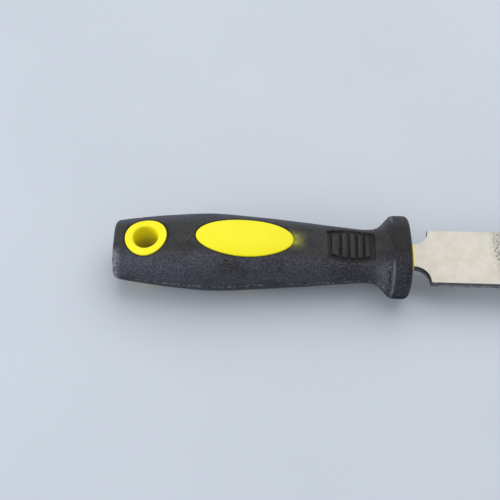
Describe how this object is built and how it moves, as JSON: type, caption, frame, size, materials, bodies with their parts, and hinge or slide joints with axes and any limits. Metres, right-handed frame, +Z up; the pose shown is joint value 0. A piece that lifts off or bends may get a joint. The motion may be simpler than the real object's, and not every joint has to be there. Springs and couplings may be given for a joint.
{
  "type": "flat diamond hand file",
  "caption": "Flat hand file with a grit-plated steel blade, quarter-round neck notches, and a soft black handle over a yellow core with hanging eye, oval panels and ribbed thumb rests.",
  "frame": {"origin": "under the middle of the tool's length and width, on the surface that the handle rests on", "axes": "+X along the tool from the butt to the tip of the blade, +Y across the blade, +Z up, normal to the blade's faces"},
  "size_m": [0.2216, 0.0352, 0.026],
  "materials": {
    "ground_steel": "pale, finely ground steel with a satin surface",
    "diamond_grit": "grey speckled layer of fine abrasive grains held in plated metal",
    "yellow_plastic": "bright yellow moulded plastic with a soft gloss",
    "black_soft_plastic": "matte, finely textured soft black moulding with light dust"
  },
  "bodies": {
    "root": {"blade": "ground_steel", "diamond_coating": "diamond_grit", "handle_core": "yellow_plastic", "grip_overmould": "black_soft_plastic"}
  },
  "joints": []
}
